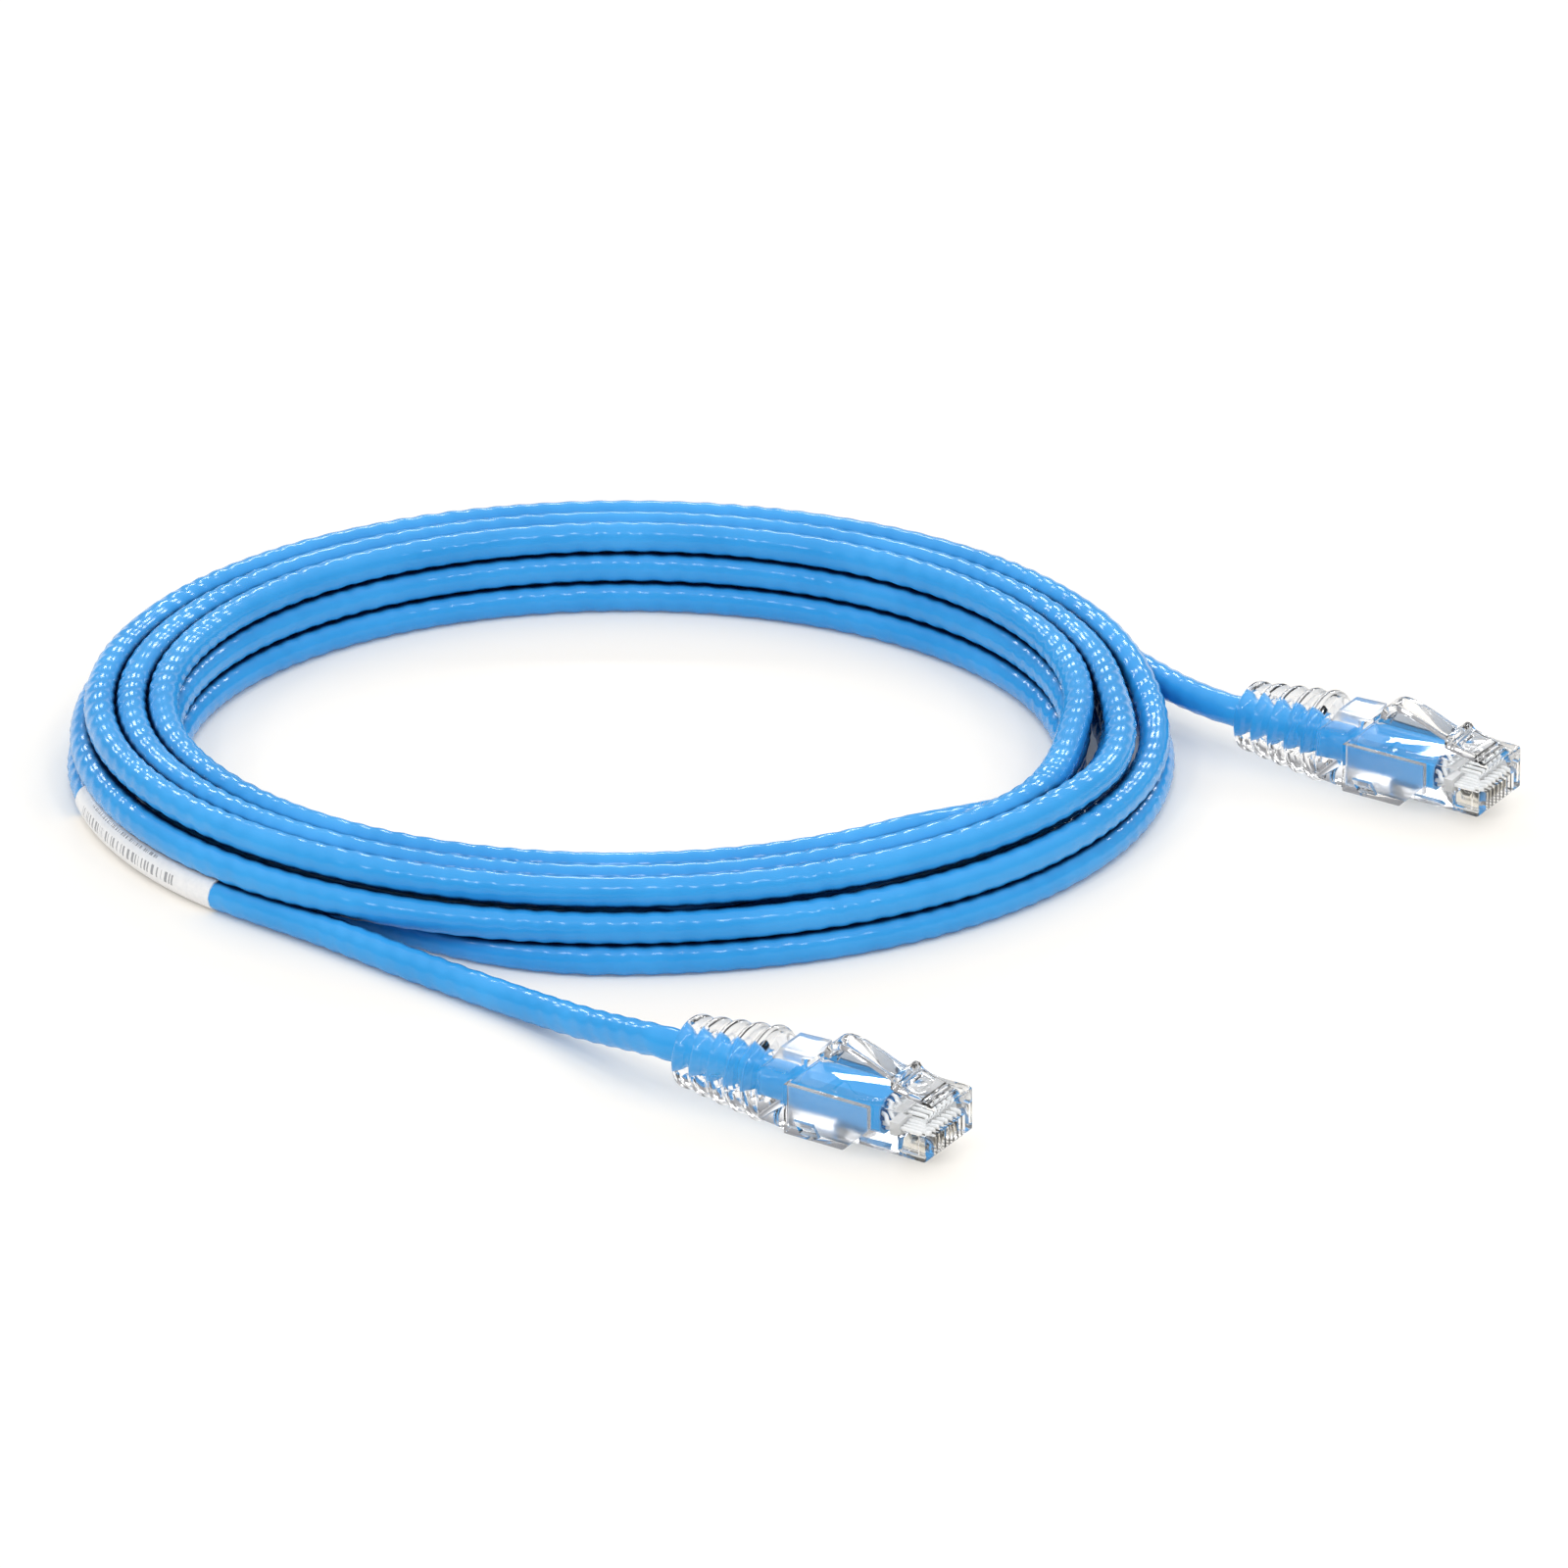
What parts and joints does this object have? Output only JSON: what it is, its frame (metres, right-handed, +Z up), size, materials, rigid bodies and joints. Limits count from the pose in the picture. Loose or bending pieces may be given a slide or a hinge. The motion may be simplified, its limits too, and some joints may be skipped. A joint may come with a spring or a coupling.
{
  "type": "ethernet patch cable",
  "caption": "Coiled round patch cord with a clear modular plug, sprung latch and ribbed clear boot on each end, and a wrap label.",
  "frame": {"origin": "centre of the box round the coiled cord and both plugs, on the surface it lies on", "axes": "+Z up, +Y away from the side that both plugs lie towards, +X towards the noses of the plugs"},
  "size_m": [0.2074, 0.2284, 0.015],
  "materials": {
    "jacket": "glossy blue PVC jacket",
    "label": "white wrap label, satin",
    "clear_plastic": "clear moulded polycarbonate, polished",
    "clear_boot": "clear soft moulded boot, glossy",
    "bar_plastic": "translucent white moulding",
    "insulation": "white wire insulation",
    "contacts": "gold-plated stamping"
  },
  "bodies": {
    "cord": {"coil": "jacket", "lead_a": "jacket", "lead_b": "jacket", "label": "label", "housing_a": "clear_plastic", "boot_a": "clear_boot", "load_bar_a": "bar_plastic", "crimp_bar_a": "clear_plastic", "jacket_end_a": "jacket", "contact_a1": "contacts", "contact_a2": "contacts", "contact_a3": "contacts", "contact_a4": "contacts", "contact_a5": "contacts", "contact_a6": "contacts", "contact_a7": "contacts", "contact_a8": "contacts", "wire_a1": "insulation", "wire_a2": "insulation", "wire_a3": "insulation", "wire_a4": "insulation", "wire_a5": "insulation", "wire_a6": "insulation", "wire_a7": "insulation", "wire_a8": "insulation", "housing_b": "clear_plastic", "boot_b": "clear_boot", "load_bar_b": "bar_plastic", "crimp_bar_b": "clear_plastic", "jacket_end_b": "jacket", "contact_b1": "contacts", "contact_b2": "contacts", "contact_b3": "contacts", "contact_b4": "contacts", "contact_b5": "contacts", "contact_b6": "contacts", "contact_b7": "contacts", "contact_b8": "contacts", "wire_b1": "insulation", "wire_b2": "insulation", "wire_b3": "insulation", "wire_b4": "insulation", "wire_b5": "insulation", "wire_b6": "insulation", "wire_b7": "insulation", "wire_b8": "insulation"},
    "latch_a": {"latch_a": "clear_plastic"},
    "latch_b": {"latch_b": "clear_plastic"}
  },
  "joints": [
    {"name": "latch_a_press", "type": "hinge", "parent": "cord", "child": "latch_a", "pos_m": [0.01954, -0.10843, 0.0094], "axis": [-0.5454, -0.8353, -0.0697], "range_deg": [0, 6], "stiffness_Nm_per_rad": 0.1},
    {"name": "latch_b_press", "type": "hinge", "parent": "cord", "child": "latch_b", "pos_m": [0.09904, 0.01637, 0.0094], "axis": [-0.5454, -0.8353, -0.0697], "range_deg": [0, 6], "stiffness_Nm_per_rad": 0.1}
  ]
}
